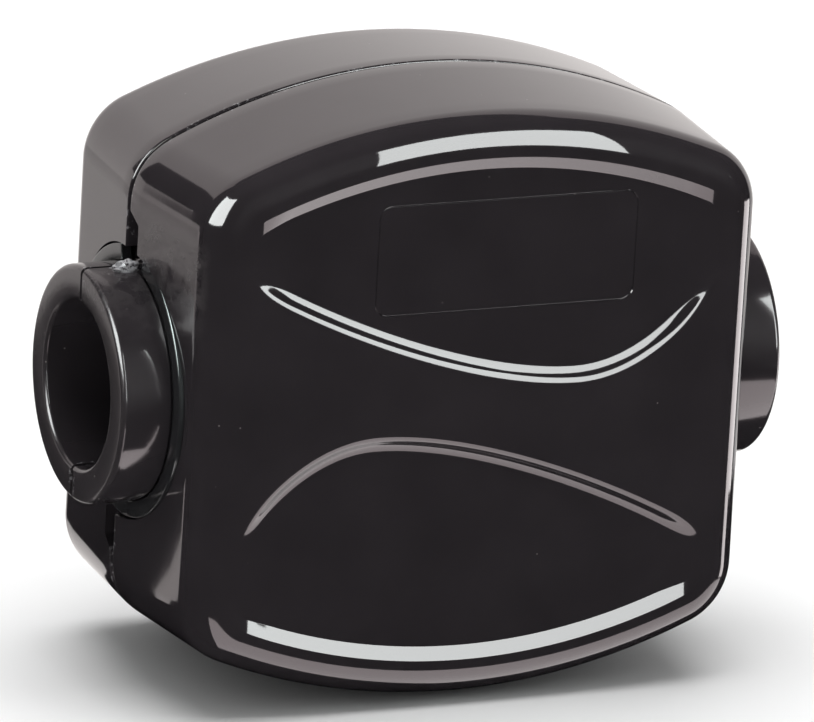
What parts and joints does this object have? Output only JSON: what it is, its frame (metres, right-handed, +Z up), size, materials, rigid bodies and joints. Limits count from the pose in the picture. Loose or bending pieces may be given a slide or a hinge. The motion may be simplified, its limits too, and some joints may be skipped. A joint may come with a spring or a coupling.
{
  "type": "branch clamp",
  "caption": "Black two-part moulded case with a cable collar on each side and a screwed plate clamp inside, for branching off an uncut cable.",
  "frame": {"origin": "on the floor, under the middle of the case where the bottom crown touches", "axes": "+X along the cable, +Z up, front face towards -Y, halves part on the plane Y = 0"},
  "size_m": [0.0474, 0.0232, 0.041],
  "materials": {
    "case": "glossy black moulding",
    "ring": "blackened spring steel",
    "die": "zinc plated",
    "screw": "zinc plated"
  },
  "bodies": {
    "case": {"front_shell": "case", "rear_shell": "case", "left_lock_ring": "ring", "right_lock_ring": "ring", "rear_die": "die"},
    "front_jaw": {"front_die": "die", "spring_washer_1": "screw", "spring_washer_2": "screw", "spring_washer_3": "screw", "spring_washer_4": "screw"},
    "middle_jaw": {"middle_plate": "die"},
    "screw_1": {"clamp_screw_1": "screw"},
    "screw_2": {"clamp_screw_2": "screw"},
    "screw_3": {"clamp_screw_3": "screw"},
    "screw_4": {"clamp_screw_4": "screw"}
  },
  "joints": [
    {"name": "front_jaw_slide", "type": "slide", "parent": "case", "child": "front_jaw", "axis": [0, -1, 0], "range_m": [0, 0.0021]},
    {"name": "middle_plate_slide", "type": "slide", "parent": "case", "child": "middle_jaw", "axis": [0, -1, 0], "range_m": [0, 0.00105]},
    {"name": "screw_1_turn", "type": "hinge", "parent": "front_jaw", "child": "screw_1", "pos_m": [-0.0066, -0.0048, 0.0133], "axis": [0, -1, 0], "range_deg": [0, 1080]},
    {"name": "screw_2_turn", "type": "hinge", "parent": "front_jaw", "child": "screw_2", "pos_m": [0.0066, -0.0048, 0.0133], "axis": [0, -1, 0], "range_deg": [0, 1080]},
    {"name": "screw_3_turn", "type": "hinge", "parent": "front_jaw", "child": "screw_3", "pos_m": [-0.0066, -0.0048, 0.0277], "axis": [0, -1, 0], "range_deg": [0, 1080]},
    {"name": "screw_4_turn", "type": "hinge", "parent": "front_jaw", "child": "screw_4", "pos_m": [0.0066, -0.0048, 0.0277], "axis": [0, -1, 0], "range_deg": [0, 1080]}
  ],
  "couplings": [
    {"joint": "middle_plate_slide", "follows": "front_jaw_slide", "ratio": 0.5},
    {"joint": "screw_1_turn", "follows": "front_jaw_slide", "rad_per_m": 8976},
    {"joint": "screw_2_turn", "follows": "front_jaw_slide", "rad_per_m": 8976},
    {"joint": "screw_3_turn", "follows": "front_jaw_slide", "rad_per_m": 8976},
    {"joint": "screw_4_turn", "follows": "front_jaw_slide", "rad_per_m": 8976}
  ]
}
